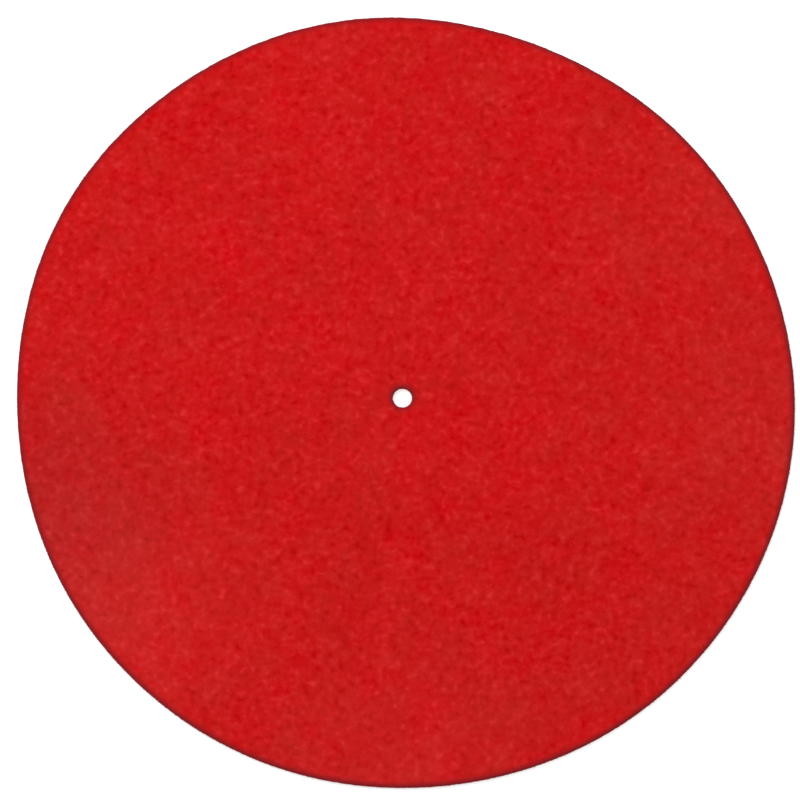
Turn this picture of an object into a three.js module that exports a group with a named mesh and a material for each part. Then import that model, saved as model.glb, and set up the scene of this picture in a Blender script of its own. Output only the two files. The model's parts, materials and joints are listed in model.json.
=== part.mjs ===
// A turntable platter mat: one disc of red felt, die-cut round, with one punched hole that drops
// over the platter's spindle. The underside lies on the platter and the record lies on the top.
// Millimetres, +Z up, origin in the middle of the hole on the underside.
import * as THREE from "three";

// The disc of felt
const matDiameter = 300;
const matThickness = 3;

// The spindle that the hole drops over, and the room left all round it
const spindleDiameter = 7.2;
const spindleClearance = 0.15;

// The cut edges: the die rounds the top, where it goes in, more than the underside
const rimRoundTop = 0.9;
const rimRoundUnder = 0.5;
const holeRoundTop = 0.7;
const holeRoundUnder = 0.4;

// How finely the round shapes are drawn: steps round the disc, and steps in each half of an edge
const turnSteps = 180;
const halfEdgeSteps = 2;

const rimRadius = matDiameter / 2;
const holeRadius = spindleDiameter / 2 + spindleClearance;

// The felt's cut section, from the hole out along the underside and back along the top
function feltSection() {
  const quarterTurn = Math.PI / 2;
  const section = new THREE.Path();
  section.moveTo(holeRadius + holeRoundUnder, 0);
  section.lineTo(rimRadius - rimRoundUnder, 0);
  section.absarc(rimRadius - rimRoundUnder, rimRoundUnder, rimRoundUnder, -quarterTurn, 0);
  section.absarc(rimRadius - rimRoundTop, matThickness - rimRoundTop, rimRoundTop, 0, quarterTurn);
  section.absarc(
    holeRadius + holeRoundTop,
    matThickness - holeRoundTop,
    holeRoundTop,
    quarterTurn,
    2 * quarterTurn,
  );
  section.absarc(
    holeRadius + holeRoundUnder,
    holeRoundUnder,
    holeRoundUnder,
    2 * quarterTurn,
    3 * quarterTurn,
  );
  section.closePath();
  return section.getPoints(halfEdgeSteps);
}

// The section turned once round the hole's axis, stood with that axis upright
function feltMat() {
  const disc = new THREE.LatheGeometry(feltSection(), turnSteps);
  disc.rotateX(Math.PI / 2);
  const redFelt = new THREE.MeshStandardMaterial({
    color: 0xc71c1c,
    roughness: 0.95,
    metalness: 0,
  });
  const mesh = new THREE.Mesh(disc, redFelt);
  mesh.name = "felt_mat";
  return mesh;
}

const platterMat = new THREE.Group();
platterMat.add(feltMat());

export default platterMat;
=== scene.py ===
# A round red felt mat for a turntable platter, lying flat on a pale studio floor
import json
import math
import random

import bmesh
import bpy
from mathutils import Matrix, Vector, noise

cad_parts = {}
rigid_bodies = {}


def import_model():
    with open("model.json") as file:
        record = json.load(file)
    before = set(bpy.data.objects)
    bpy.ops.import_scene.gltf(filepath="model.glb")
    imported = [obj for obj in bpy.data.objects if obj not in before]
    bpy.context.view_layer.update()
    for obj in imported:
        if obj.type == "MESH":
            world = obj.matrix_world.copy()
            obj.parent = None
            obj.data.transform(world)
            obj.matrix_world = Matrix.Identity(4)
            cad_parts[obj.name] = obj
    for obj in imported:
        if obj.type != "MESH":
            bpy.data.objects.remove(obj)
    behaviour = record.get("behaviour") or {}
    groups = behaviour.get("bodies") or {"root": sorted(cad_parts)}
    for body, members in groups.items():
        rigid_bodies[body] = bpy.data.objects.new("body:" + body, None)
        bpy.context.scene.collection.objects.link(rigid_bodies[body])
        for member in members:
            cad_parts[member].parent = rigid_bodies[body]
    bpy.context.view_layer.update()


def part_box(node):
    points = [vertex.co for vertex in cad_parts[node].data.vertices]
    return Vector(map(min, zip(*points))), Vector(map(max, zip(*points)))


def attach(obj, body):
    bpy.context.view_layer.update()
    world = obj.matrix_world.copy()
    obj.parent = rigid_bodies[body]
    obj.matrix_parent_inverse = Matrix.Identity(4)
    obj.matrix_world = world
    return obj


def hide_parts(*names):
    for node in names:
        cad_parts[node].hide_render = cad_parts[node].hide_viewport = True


mm = 0.001

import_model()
print("frame loaded")


def addObject(name, data):
    thing = bpy.data.objects.new(name, data)
    bpy.context.scene.collection.objects.link(thing)
    return thing


# The camera, almost straight above the mat
cameraView = {
    "azimuth": 2.5,  # degrees, 0 looks along +Y
    "elevation": 81.8,
    "distance": 1.5,
    "lens": 173.04,
    "aimRight": -0.92 * mm,  # the mat sits a little right of the picture's middle
    "aimUp": -2.25 * mm,  # and a little above it
}


def makeCamera():
    turn = math.radians(cameraView["azimuth"])
    rise = math.radians(cameraView["elevation"])
    back = Vector(
        (math.sin(turn) * math.cos(rise), -math.cos(turn) * math.cos(rise), math.sin(rise))
    )
    facing = (-back).to_track_quat("-Z", "Y")
    aim = facing @ Vector((cameraView["aimRight"], cameraView["aimUp"], 0))
    data = bpy.data.cameras.new("camera")
    data.lens = cameraView["lens"]
    camera = addObject("camera", data)
    camera.location = aim + back * cameraView["distance"]
    camera.rotation_mode = "QUATERNION"
    camera.rotation_quaternion = facing
    bpy.context.scene.camera = camera


makeCamera()
print("camera placed")


def newNode(tree, kind, inputs=None, **settings):
    # inputs gives sockets by name or number, each a value or another node's output
    node = tree.nodes.new(kind)
    for key, value in settings.items():
        setattr(node, key, value)
    for key, value in (inputs or {}).items():
        if isinstance(value, bpy.types.NodeSocket):
            tree.links.new(value, node.inputs[key])
        else:
            node.inputs[key].default_value = value
    return node


def mathNode(tree, operation, *values):
    node = newNode(tree, "ShaderNodeMath", dict(enumerate(values)), operation=operation)
    return node.outputs[0]


def fadeNode(tree, value, reach, start, end):
    # start where the value is 0, end where it is at its reach, with a smooth change between
    return newNode(
        tree,
        "ShaderNodeMapRange",
        {"Value": value, "From Max": reach, "To Min": start, "To Max": end},
        interpolation_type="SMOOTHSTEP",
    ).outputs["Result"]


def addShare(tree, share, change, colour):
    # the colour with this share of a change added
    return newNode(
        tree, "ShaderNodeVectorMath", {0: share, 1: change, 2: colour}, operation="MULTIPLY_ADD"
    ).outputs["Vector"]


def newMaterial(name):
    material = bpy.data.materials.new(name)
    material.use_nodes = True
    tree = material.node_tree
    tree.nodes.clear()
    return material, tree


def orderedMesh(bm, name):
    # corners and faces in the same order every run, so that random fibres always fall alike
    corners = sorted(bm.verts, key=lambda v: tuple(round(c, 7) for c in v.co))
    for index, vert in enumerate(corners):
        vert.index = index
    faces = []
    for face in bm.faces:
        ring = [v.index for v in face.verts]
        first = ring.index(min(ring))
        faces.append(ring[first:] + ring[:first])
    mesh = bpy.data.meshes.new(name)
    mesh.from_pydata([v.co for v in corners], [], sorted(faces))
    mesh.shade_smooth()
    return mesh


# The felt disc, thick soft felt cut with a round die
disc = {
    "topStep": 1.2 * mm,  # ring spacing on the top
    "underStep": 2.4 * mm,  # under the mat
    "wallStep": 0.55 * mm,  # and up the cut walls
    "arcSteps": 4,  # faces across each rounded edge
    "turns": 96,  # faces round the hole
    # where the faces round the mat halve in length, on the top and under it
    "halvings": ((18.5 * mm, 33 * mm), (37 * mm, 74 * mm), (75 * mm, 146 * mm)),
    "tolerance": 0.001 * mm,  # corners closer than this are on one ring
    "rimRoundTop": 0.9 * mm,
    "rimRoundUnder": 0.5 * mm,
    "holeRoundTop": 0.7 * mm,
    "holeRoundUnder": 0.4 * mm,
    "holeRadius": 3.75 * mm,
    "slowHeight": 0.12 * mm,  # gentle swells of the whole sheet
    "slowLength": 55 * mm,
    "lumpHeight": 0.13 * mm,  # matted lumps of fibre
    "lumpLength": 4.2 * mm,
    "lumpLayers": (0.8, 2.1, 3),  # how smooth, how much finer each next layer, how many
    "webHeight": 0.07 * mm,  # curled ridges of fibre
    "webLength": 2.6 * mm,
    "webShift": (7, 3, 1),  # puts the ridges elsewhere than the lumps
    "rimRoughness": 0.13 * mm,  # torn look of the cut walls
    "holeRoughness": 0.06 * mm,
    "wallLength": 1.7 * mm,
    "topFace": 0.1,  # lumps show on the faces that look up by more than this
    "underPart": 0.4,  # the share of the thickness that goes with the underside
    "underLumps": 0.4,  # how much of the lumps shows there
    "underGap": 0.05 * mm,
    "rimMark": 1.0,  # how much painted shade darkens the felt at the rim, and how far in
    "rimMarkWidth": 2.8 * mm,
    "holeShade": 0.8,  # and round the hole
    "holeShadeWidth": 3.2 * mm,
    "cutShadeFade": 0.55,  # how much of that is lost at the foot of the cut
    # the cut isn't a true circle: times round, size and the direction of its first bulge
    "outOfRound": (
        (1, 0.62 * mm, 4.7),
        (2, 0.90 * mm, -40.4),
        (3, 0.58 * mm, 3.1),
        (4, 0.18 * mm, 47.3),
        (5, 0.13 * mm, 21.7),
        (6, 0.14 * mm, -21.4),
        (7, 0.18 * mm, -2.7),
    ),
}


def arcPoints(middle, radius, start, end):
    # points of a rounded corner of the section, in degrees, without the first one
    points = []
    for step in range(1, disc["arcSteps"] + 1):
        angle = math.radians(start + (end - start) * step / disc["arcSteps"])
        x = middle[0] + radius * math.cos(angle)
        z = middle[1] + radius * math.sin(angle)
        points.append((x, z))
    return points


def runPoints(start, end, height, spacing):
    # evenly spaced points along a flat of the section, both ends included
    steps = max(1, round(abs(end - start) / spacing))
    return [(start + (end - start) * step / steps, height) for step in range(steps + 1)]


def wallPoints(reach, start, end):
    # points up or down a straight wall of the section, without the first one
    return [(reach, point[0]) for point in runPoints(start, end, 0, disc["wallStep"])[1:]]


def sectionPoints(radius, thickness):
    # the cut section, from under the rim in to the hole, up it and back out along the top
    hole = disc["holeRadius"]
    holeTop, holeUnder = disc["holeRoundTop"], disc["holeRoundUnder"]
    rimTop, rimUnder = disc["rimRoundTop"], disc["rimRoundUnder"]
    points = runPoints(radius - rimUnder, hole + holeUnder, 0, disc["underStep"])
    points += arcPoints((hole + holeUnder, holeUnder), holeUnder, 270, 180)
    points += wallPoints(hole, holeUnder, thickness - holeTop)
    points += arcPoints((hole + holeTop, thickness - holeTop), holeTop, 180, 90)
    points += runPoints(hole + holeTop, radius - rimTop, thickness, disc["topStep"])[1:]
    points += arcPoints((radius - rimTop, thickness - rimTop), rimTop, 90, 0)
    points += wallPoints(radius, thickness - rimTop, rimUnder)
    points += arcPoints((radius - rimUnder, rimUnder), rimUnder, 0, -90)[:-1]
    return points


def ringEdges(bm, reach, least, leastUnder):
    # the edges that run round the mat outside these reaches, on the top and under it
    found = []
    for edge in bm.edges:
        first, last = edge.verts
        slant = max(abs(first.co.z - last.co.z), abs(first[reach] - last[reach]))
        inside = least if first.co.z > disc["tolerance"] else leastUnder
        if slant < disc["tolerance"] and first[reach] > inside:
            found.append(edge)
    return found


def spinSection(bm, radius, thickness):
    points = sectionPoints(radius, thickness)
    verts = [bm.verts.new((x, 0, z)) for x, z in points]
    edges = [bm.edges.new(pair) for pair in zip(verts, verts[1:] + verts[:1])]
    bmesh.ops.spin(
        bm,
        geom=verts + edges,
        cent=(0, 0, 0),
        axis=(0, 0, 1),
        angle=2 * math.pi,
        steps=disc["turns"],
        use_merge=True,
    )
    reach = bm.verts.layers.float.new("reach")
    for vert in bm.verts:
        vert[reach] = math.hypot(vert.co.x, vert.co.y)
    for least, leastUnder in disc["halvings"]:
        bmesh.ops.subdivide_edges(bm, edges=ringEdges(bm, reach, least, leastUnder), cuts=1)
        for vert in bm.verts:  # the new corners come out to their ring
            outwards = vert[reach] / math.hypot(vert.co.x, vert.co.y)
            vert.co.x *= outwards
            vert.co.y *= outwards


def cutShadeAt(place, radius, thickness):
    # how much painted shade the felt gets by the cuts: most at the top of a cut, 0 a little way
    # in
    reach = math.hypot(place.x, place.y)
    rim = disc["rimMark"] * (1 - (radius - reach) / disc["rimMarkWidth"])
    hole = disc["holeShade"] * (1 - (reach - disc["holeRadius"]) / disc["holeShadeWidth"])
    return max(0, rim, hole) * (1 - disc["cutShadeFade"] * (1 - place.z / thickness))


def feltMove(place, normal, radius, thickness):
    # matted lumps and curled ridges on the faces, a torn look on the cut walls
    atRim = math.hypot(place.x, place.y) > radius / 2
    rough = disc["rimRoughness"] if atRim else disc["holeRoughness"]
    lump = noise.fractal(place / disc["lumpLength"], *disc["lumpLayers"]) * disc["lumpHeight"]
    web = 1 - 2 * abs(noise.noise(place / disc["webLength"] + Vector(disc["webShift"])))
    wall = noise.noise(place / disc["wallLength"]) * rough
    move = normal * wall * (1 - abs(normal.z))
    if normal.z > disc["topFace"]:
        move += normal * (lump + web * disc["webHeight"])
        move.z += noise.noise(place / disc["slowLength"]) * disc["slowHeight"]
    elif place.z < disc["underPart"] * thickness:
        move.z += disc["underGap"] + abs(lump) * disc["underLumps"]
    return move


def cutMove(place, radius):
    # from a true circle to the die's own outline
    reach = math.hypot(place.x, place.y)
    angle = math.atan2(place.y, place.x)
    bulge = sum(
        size * math.cos(times * (angle - math.radians(first)))
        for times, size, first in disc["outOfRound"]
    )
    outwards = bulge * (reach / radius) ** 2
    return Vector((outwards * math.cos(angle), outwards * math.sin(angle), 0))


def makeDisc():
    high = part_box("felt_mat")[1]
    radius, thickness = high.x, high.z
    bm = bmesh.new()
    spinSection(bm, radius, thickness)
    bmesh.ops.recalc_face_normals(bm, faces=bm.faces)
    mesh = orderedMesh(bm, "felt_disc")
    bm.free()
    # painted shade along the cut edges, kept on each corner for the felt's colour
    marks = mesh.attributes.new("cutEdgeShade", "FLOAT", "POINT")
    marks.data.foreach_set("value", [cutShadeAt(v.co, radius, thickness) for v in mesh.vertices])
    moves = [
        feltMove(v.co, v.normal, radius, thickness) + cutMove(v.co, radius) for v in mesh.vertices
    ]
    for vert, move in zip(mesh.vertices, moves):
        vert.co += move
        vert.co.z = max(vert.co.z, 0)
    return addObject("felt_disc", mesh)


feltDisc = makeDisc()
print("felt disc made:", len(feltDisc.data.polygons), "faces")


# The felt's dye and grain, with painted shade at its cut edges and painted glare and shade in
# patches
felt = {
    "dark": (0.486, 0.0010, 0.0011, 1),
    "middle": (0.5888, 0.0073, 0.0075, 1),
    "light": (0.688, 0.0222, 0.0235, 1),
    "darkAt": 0.2,  # the grain at which the felt is darkest and lightest
    "lightAt": 0.8,
    "roughness": 0.95,
    "specular": 0.03,
    "sheen": 0.03,
    "sheenRoughness": 0.6,
    # the noises of the grain, with how many mm across their features are
    "cloud": {"across": 35, "detail": 2, "roughness": 0.5},  # slow changes of tone
    "cloudStrength": 0.13,
    "mottle": {"across": 4.2, "detail": 1, "roughness": 0.8, "distortion": 0.4},
    "mottleStrength": 0.45,
    "tuft": {"across": 2.3, "detail": 0, "distortion": 0.25},  # small tufts and pits
    "tuftStrength": 0.045,
    "spotStrength": 2.05,  # how much more the largest of them show
    # changes of hue, and what each adds to the dye
    "leans": (
        ({"across": 32, "detail": 0, "roughness": 0.8}, (0.052, -0.0036, -0.0025)),
        ({"across": 16, "detail": 2, "roughness": 0.8}, (0.120, -0.0185, -0.0078)),
    ),
    # the web of fine fibres, in loops of two sizes
    "webs": (
        {"across": 0.8, "detail": 1, "distortion": 1.5},
        {"across": 1.3, "detail": 1, "distortion": 1.5},
    ),
    "webLine": 0.07,  # how wide a fibre is in it
    "webStrength": 0.13,
    "webBump": 0.5,  # how high it stands beside the lumps
    "lumpBump": 0.10 * mm,
    "bumpStrength": 0.6,
    "fibreLift": 0.3,  # how much lighter the lightest loose fibres are
    "cutShadeColour": (0.272, 0.0108, 0.0145, 1),  # painted shade of the rounded cut edges
    "fullShade": 0.9,  # the mark at which the felt has that colour
    "looseShadeShare": 0.6,  # how much of it shows on the loose fibres there
    "placeHeight": 3,  # mm, where the top of the mat is
    # painted glare and shade there, paler in patches towards the rim, duller in some places and
    # lighter in others: middle in mm, how far they reach and what they add
    "glareShadePatches": (
        ((-104, -92), 74, (0.016, 0.0068, 0.0060)),
        ((152, -8), 82, (-0.013, 0.0058, 0.0044)),
        ((118, 82), 62, (-0.003, 0.0037, 0.0028)),
        ((12, -158), 88, (0.007, 0.0056, 0.0052)),
        ((66, -78), 62, (-0.014, 0.0, 0.0)),
        ((112, -104), 56, (0.0, 0.0024, 0.0020)),
        ((-140, -46), 76, (-0.100, 0.0056, 0.0052)),
    ),
}


def feltShader(tree, colour, normal=None):
    # dull dyed wool that sends the light back evenly
    inputs = {
        "Base Color": colour,
        "Roughness": felt["roughness"],
        "Specular IOR Level": felt["specular"],
        "Sheen Weight": felt["sheen"],
        "Sheen Roughness": felt["sheenRoughness"],
    }
    if normal:
        inputs["Normal"] = normal
    shader = newNode(tree, "ShaderNodeBsdfPrincipled", inputs)
    newNode(tree, "ShaderNodeOutputMaterial", {"Surface": shader.outputs[0]})


def noiseAt(tree, place, across, **inputs):
    # a noise whose features are this many mm across
    settings = {"Vector": place, "Scale": 1 / across}
    settings.update({key.capitalize(): value for key, value in inputs.items()})
    return newNode(tree, "ShaderNodeTexNoise", settings).outputs["Fac"]


def fibreWeb(tree, place):
    # fine curled fibres crossing each other, 1 along each of them
    total = 0
    for web in felt["webs"]:
        centred = mathNode(tree, "ADD", noiseAt(tree, place, **web), -0.5)
        away = mathNode(tree, "ABSOLUTE", centred)
        line = fadeNode(tree, away, felt["webLine"], 1, 0)
        total = mathNode(tree, "MAXIMUM", line, total)
    return total


def spotsOf(tree, tuft):
    # 0.5, and more or less where the noise is far from its middle
    centred = mathNode(tree, "ADD", tuft, -0.5)
    size = mathNode(tree, "ABSOLUTE", centred)
    gain = mathNode(tree, "MULTIPLY_ADD", size, felt["spotStrength"], felt["tuftStrength"])
    return mathNode(tree, "MULTIPLY_ADD", centred, gain, 0.5)


def feltGrain(tree, place, web):
    # slow clouds, mottling, small tufts and pits, and the web of fibres, about 0.5 all over
    cloud = noiseAt(tree, place, **felt["cloud"])
    mottle = noiseAt(tree, place, **felt["mottle"])
    total = spotsOf(tree, noiseAt(tree, place, **felt["tuft"]))
    for part, strength in (
        (cloud, felt["cloudStrength"]),
        (mottle, felt["mottleStrength"]),
        (web, felt["webStrength"]),
    ):
        centred = mathNode(tree, "ADD", part, -0.5)
        total = mathNode(tree, "MULTIPLY_ADD", centred, strength, total)
    return total


def unevenDye(tree, place, colour):
    # the dye leans to scarlet here and to brick there, at about the same brightness
    for lean, change in felt["leans"]:
        centred = mathNode(tree, "ADD", noiseAt(tree, place, **lean), -0.5)
        colour = addShare(tree, centred, change, colour)
    return colour


def paintGlareAndShade(tree, place, colour):
    # painted glare and shade in soft patches: the dye paler in places towards the rim, duller in
    # some places and lighter in others
    for (x, y), reach, change in felt["glareShadePatches"]:
        away = newNode(
            tree,
            "ShaderNodeVectorMath",
            {0: place, 1: (x, y, felt["placeHeight"])},
            operation="DISTANCE",
        ).outputs["Value"]
        colour = addShare(tree, fadeNode(tree, away, reach, 1, 0), change, colour)
    return colour


def feltColour(tree, place, grain, shadeShare):
    # dye by the grain and its unevenness, painted glare and shade in patches, and painted shade
    # at the cut edges
    ramp = newNode(tree, "ShaderNodeValToRGB", {0: grain})
    first, last = ramp.color_ramp.elements
    first.position, first.color = felt["darkAt"], felt["dark"]
    last.position, last.color = felt["lightAt"], felt["light"]
    ramp.color_ramp.elements.new(0.5).color = felt["middle"]
    dyed = paintGlareAndShade(tree, place, unevenDye(tree, place, ramp.outputs["Color"]))
    # painted shade at the cut edges: the felt turns to a darker colour where the corners' mark is
    # high
    cut = newNode(tree, "ShaderNodeAttribute", attribute_name="cutEdgeShade").outputs["Fac"]
    paintedShade = fadeNode(tree, cut, felt["fullShade"], 0, shadeShare)
    return newNode(
        tree, "ShaderNodeMix", {0: paintedShade, 6: dyed, 7: felt["cutShadeColour"]}, data_type="RGBA"
    ).outputs[2]


def inMillimetres(tree):
    metres = newNode(tree, "ShaderNodeTexCoord").outputs["Object"]
    return newNode(
        tree, "ShaderNodeVectorMath", {0: metres, "Scale": 1000}, operation="SCALE"
    ).outputs["Vector"]


def makeFelt(name):
    material, tree = newMaterial(name)
    place = inMillimetres(tree)
    web = fibreWeb(tree, place)
    grain = feltGrain(tree, place, web)
    height = mathNode(tree, "MULTIPLY_ADD", web, felt["webBump"], grain)
    bump = newNode(
        tree,
        "ShaderNodeBump",
        {"Height": height, "Distance": felt["lumpBump"], "Strength": felt["bumpStrength"]},
    ).outputs["Normal"]
    feltShader(tree, feltColour(tree, place, grain, 1), bump)
    return material


def makeFibre(name):
    # the felt's colour where a fibre lies, with part of the painted shade at the cuts, a little
    # lighter on some
    material, tree = newMaterial(name)
    place = inMillimetres(tree)
    tone = newNode(tree, "ShaderNodeAttribute", attribute_name="fibreTone").outputs["Fac"]
    grain = feltGrain(tree, place, fibreWeb(tree, place))
    lifted = mathNode(tree, "MULTIPLY_ADD", tone, felt["fibreLift"], grain)
    feltShader(tree, feltColour(tree, place, lifted, felt["looseShadeShare"]))
    return material


feltDisc.data.materials.append(makeFelt("red_felt_grain"))
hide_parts("felt_mat")
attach(feltDisc, "root")
print("felt dyed")


# Loose fibres of the felt: some matted flat on both faces, and short ends out of the cuts
fibres = {
    "top_nap": {
        "on": "top",
        "seed": 11,
        "perSquareMetre": 225000,
        "kinds": 16,  # different strands
        "joints": 3,  # straight lengths in each
        "length": (0.8 * mm, 1.8 * mm),
        "radius": (0.05 * mm, 0.09 * mm),
        "flatness": 0.4,
        "turn": (20, 110),  # degrees that a curl turns through
        "rise": (0, 0.03 * mm),  # how high it arches
        "lean": 2,  # degrees off the face
    },
    "top_curls": {
        "on": "top",
        "seed": 29,
        "perSquareMetre": 152000,
        "kinds": 16,
        "joints": 4,
        "length": (1.8 * mm, 3.4 * mm),
        "radius": (0.03 * mm, 0.05 * mm),
        "flatness": 0.5,
        "turn": (60, 240),
        "rise": (0, 0.05 * mm),
        "lean": 3,
    },
    "under_nap": {
        "on": "under",
        "seed": 43,
        "perSquareMetre": 150000,
        "kinds": 12,
        "joints": 3,
        "length": (1.0 * mm, 2.4 * mm),
        "radius": (0.04 * mm, 0.08 * mm),
        "flatness": 0.6,
        "turn": (20, 140),
        "rise": (0, 0.04 * mm),
        "lean": 2,
    },
    "edge_fuzz": {
        "on": "cut",
        "seed": 61,
        "perSquareMetre": 4200000,
        "kinds": 16,
        "joints": 3,
        "length": (0.35 * mm, 0.85 * mm),
        "radius": (0.025 * mm, 0.04 * mm),
        "flatness": 1.0,
        "turn": (20, 100),
        "rise": (0, 0.08 * mm),
        "lean": 65,
        "rootDepth": 0.1 * mm,  # stands up, with one end this deep in the felt
    },
}
strandSides = 3
strandArch = 1.3  # above 1, the ends of a strand dip into the felt
flatFace = 0.75  # how upright a face's normal is on the top and under the mat


def turnVerts(bm, verts, angle, axis):
    bmesh.ops.rotate(bm, verts=verts, matrix=Matrix.Rotation(angle, 3, axis), cent=(0, 0, 0))


def drawStrand(bm, length, radius, kind):
    # a thin strand along X, ridge upwards, that runs to a point at both ends
    ring = bmesh.ops.create_circle(bm, segments=strandSides, radius=radius)["verts"]
    turnVerts(bm, ring, math.pi / 2, "Y")
    highest = max(ring, key=lambda v: v.co.z).co
    turnVerts(bm, ring, math.atan2(highest.y, highest.z), "X")
    bmesh.ops.scale(bm, verts=ring, vec=(1, 1, kind["flatness"]))
    bmesh.ops.translate(bm, verts=ring, vec=(-length / 2, 0, 0))
    first = list(ring)
    for joint in range(kind["joints"]):
        edges = [e for e in bm.edges if all(v in ring for v in e.verts)]
        grown = bmesh.ops.extrude_edge_only(bm, edges=edges)["geom"]
        ring = [g for g in grown if isinstance(g, bmesh.types.BMVert)]
        bmesh.ops.translate(bm, verts=ring, vec=(length / kind["joints"], 0, 0))
    for end in (first, ring):
        bmesh.ops.pointmerge(bm, verts=end, merge_co=(end[0].co.x, 0, 0))
    bmesh.ops.recalc_face_normals(bm, faces=bm.faces)


def curlStrand(bm, length, turn, rise):
    # curled on the face and arched over it
    for vert in bm.verts:
        along = vert.co.x / length
        bent = turn * along
        across = length / turn + vert.co.y
        height = vert.co.z + rise * math.cos(math.pi * along * strandArch)
        vert.co = (across * math.sin(bent), across * math.cos(bent) - length / turn, height)


def makeStrand(draw, kind):
    length = draw.uniform(*kind["length"])
    radius = draw.uniform(*kind["radius"])
    turn = math.radians(draw.uniform(*kind["turn"])) * draw.choice((-1, 1))
    rise = draw.uniform(*kind["rise"])
    bm = bmesh.new()
    drawStrand(bm, length, radius, kind)
    curlStrand(bm, length, turn, rise)
    if "rootDepth" in kind:
        turnVerts(bm, bm.verts, -math.pi / 2, "Y")
        foot = min(v.co.z for v in bm.verts)
        bmesh.ops.translate(bm, verts=bm.verts, vec=(0, 0, -foot - kind["rootDepth"]))
    mesh = orderedMesh(bm, "strand")
    mesh.shade_flat()
    bm.free()
    return bpy.data.objects.new("strand", mesh)


def turnedAway(tree, rotation, kind):
    # each place turned at random on its face, and leant a little off it
    lean = math.radians(kind["lean"])
    turned = newNode(
        tree,
        "FunctionNodeRandomValue",
        {0: (-lean, -lean, 0), 1: (lean, lean, 2 * math.pi), "Seed": kind["seed"] + 1},
        data_type="FLOAT_VECTOR",
    ).outputs[0]
    turn = newNode(tree, "FunctionNodeEulerToRotation", {0: turned}).outputs[0]
    return newNode(
        tree,
        "FunctionNodeRotateRotation",
        {"Rotation": rotation, "Rotate By": turn},
        rotation_space="LOCAL",
    ).outputs[0]


def scatterTree(kind, strands):
    # places the strands at random on the marked faces, and gives each its own tone
    tree = bpy.data.node_groups.new("scatter", "GeometryNodeTree")
    tree.interface.new_socket("Geometry", in_out="INPUT", socket_type="NodeSocketGeometry")
    tree.interface.new_socket("Geometry", in_out="OUTPUT", socket_type="NodeSocketGeometry")
    ground = newNode(tree, "NodeGroupInput").outputs[0]
    marked = newNode(
        tree, "GeometryNodeInputNamedAttribute", {"Name": kind["on"]}, data_type="BOOLEAN"
    ).outputs[0]
    spots = newNode(
        tree,
        "GeometryNodeDistributePointsOnFaces",
        {
            "Mesh": ground,
            "Selection": marked,
            "Density": kind["perSquareMetre"],
            "Seed": kind["seed"],
        },
    ).outputs
    facing = turnedAway(tree, spots["Rotation"], kind)
    pick = newNode(
        tree,
        "FunctionNodeRandomValue",
        {4: 0, 5: kind["kinds"] - 1, "Seed": kind["seed"] + 2},
        data_type="INT",
    ).outputs[2]
    choice = newNode(
        tree, "GeometryNodeCollectionInfo", {"Collection": strands, "Separate Children": True}
    ).outputs[0]
    placed = newNode(
        tree,
        "GeometryNodeInstanceOnPoints",
        {
            "Points": spots["Points"],
            "Instance": choice,
            "Pick Instance": True,
            "Instance Index": pick,
            "Rotation": facing,
        },
    ).outputs[0]
    tone = newNode(
        tree, "FunctionNodeRandomValue", {2: 0.0, 3: 1.0, "Seed": kind["seed"] + 3}
    ).outputs[1]
    toned = newNode(
        tree,
        "GeometryNodeStoreNamedAttribute",
        {"Geometry": placed, "Name": "fibreTone", "Value": tone},
        data_type="FLOAT",
        domain="INSTANCE",
    ).outputs[0]
    real = newNode(tree, "GeometryNodeRealizeInstances", {"Geometry": toned}).outputs[0]
    newNode(tree, "NodeGroupOutput", {0: real})
    return tree


def markFaces(mesh):
    # names the faces that each kind of fibre grows on
    sides = {"top": [], "under": [], "cut": []}
    for face in mesh.polygons:
        sides["top"].append(face.normal.z > flatFace)
        sides["under"].append(face.normal.z < -flatFace)
        sides["cut"].append(abs(face.normal.z) <= flatFace)
    for side, marks in sides.items():
        mesh.attributes.new(side, "BOOLEAN", "FACE").data.foreach_set("value", marks)


def growFibres(kind, strands):
    # one mesh of all the strands, scattered over a copy of the disc
    ground = feltDisc.data.copy()
    ground.materials.clear()
    markFaces(ground)
    host = addObject("host", ground)
    scatter = host.modifiers.new("scatter", "NODES")
    scatter.node_group = scatterTree(kind, strands)
    grown = host.evaluated_get(bpy.context.evaluated_depsgraph_get())
    mesh = bpy.data.meshes.new_from_object(grown)
    bpy.data.objects.remove(host)
    for vert in mesh.vertices:  # nothing reaches below what the mat lies on
        vert.co.z = max(vert.co.z, 0)
    return mesh


fibreMaterial = makeFibre("red_fibre")


def scatterFibres(name, kind):
    draw = random.Random(kind["seed"])
    strands = bpy.data.collections.new("strands")
    for number in range(kind["kinds"]):
        strands.objects.link(makeStrand(draw, kind))
    mesh = growFibres(kind, strands)
    for strand in list(strands.objects):
        bpy.data.objects.remove(strand)
    bpy.data.collections.remove(strands)
    mesh.name = name
    mesh.materials.clear()
    mesh.materials.append(fibreMaterial)
    piece = addObject(name, mesh)
    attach(piece, "root")
    print(name, "made:", len(mesh.polygons), "faces")
    return piece


loose = [scatterFibres(name, kind) for name, kind in fibres.items()]


# The studio: a pale floor, soft light from all round and one large lamp overhead
studio = {
    "floorSize": 8,
    "floorShade": 0.8,
    "floorLift": 0.6,  # white that only the camera sees
    "roomLight": 0.60,
    "lampPower": 14.4,
    "lampSize": 1.2,
    "lampPlace": (-0.5, 0.7, 1.3),
}


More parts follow.
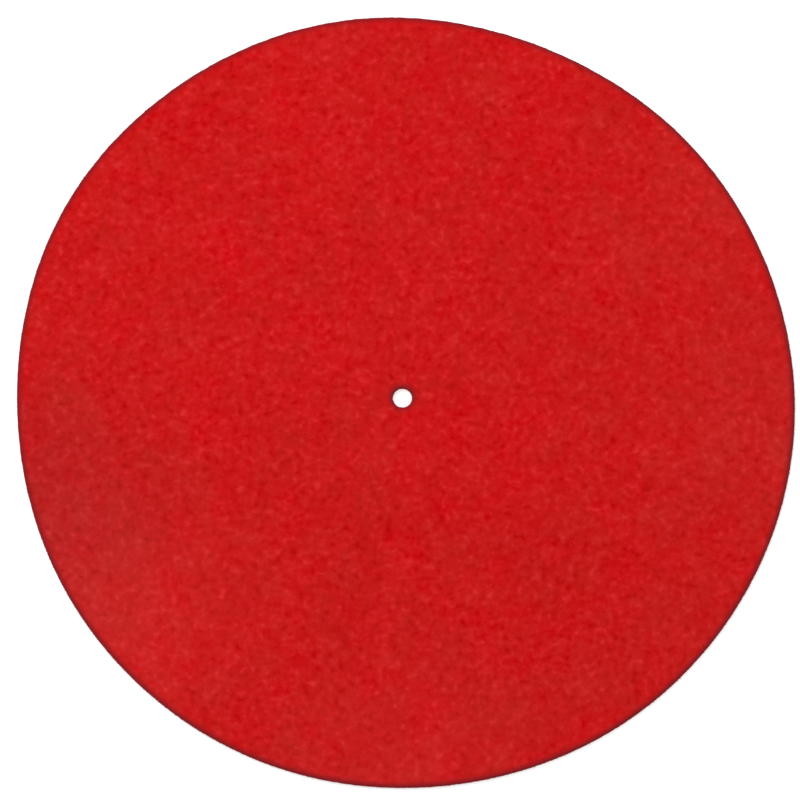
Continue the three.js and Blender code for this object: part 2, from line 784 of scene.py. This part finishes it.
def seenDirectly(tree):
    # 1 where the camera sees the surface itself, in a mirror or through glass
    path = newNode(tree, "ShaderNodeLightPath").outputs
    mirrored = mathNode(tree, "MAXIMUM", path["Is Camera Ray"], path["Is Glossy Ray"])
    return mathNode(tree, "MAXIMUM", mirrored, path["Is Transmission Ray"])


def makeFloor():
    bm = bmesh.new()
    bmesh.ops.create_grid(bm, x_segments=1, y_segments=1, size=studio["floorSize"] / 2)
    mesh = bpy.data.meshes.new("floor")
    bm.to_mesh(mesh)
    bm.free()
    floor = addObject("floor", mesh)
    material, tree = newMaterial("pale_floor")
    lift = mathNode(tree, "MULTIPLY", seenDirectly(tree), studio["floorLift"])
    pale = newNode(tree, "ShaderNodeBsdfDiffuse", {"Color": (studio["floorShade"],) * 3 + (1,)})
    white = newNode(tree, "ShaderNodeEmission", {"Color": (1, 1, 1, 1), "Strength": lift})
    both = newNode(tree, "ShaderNodeAddShader", {0: pale.outputs[0], 1: white.outputs[0]})
    newNode(tree, "ShaderNodeOutputMaterial", {"Surface": both.outputs[0]})
    mesh.materials.append(material)


def lightRoom():
    world = bpy.data.worlds.new("room")
    bpy.context.scene.world = world
    world.use_nodes = True
    tree = world.node_tree
    tree.nodes.clear()
    strength = newNode(
        tree,
        "ShaderNodeMapRange",
        {"Value": seenDirectly(tree), "To Min": studio["roomLight"], "To Max": 1.0},
    ).outputs["Result"]
    sky = newNode(tree, "ShaderNodeBackground", {"Color": (1, 1, 1, 1), "Strength": strength})
    newNode(tree, "ShaderNodeOutputWorld", {"Surface": sky.outputs[0]})


def hangLamp():
    data = bpy.data.lights.new("softLamp", "AREA")
    data.shape = "DISK"
    data.size = studio["lampSize"]
    data.energy = studio["lampPower"]
    lamp = addObject("softLamp", data)
    lamp.location = studio["lampPlace"]
    lamp.rotation_mode = "QUATERNION"
    lamp.rotation_quaternion = (-Vector(studio["lampPlace"])).to_track_quat("-Z", "Y")


makeFloor()
lightRoom()
hangLamp()
bpy.context.scene.view_settings.view_transform = "Standard"
print("studio lit")
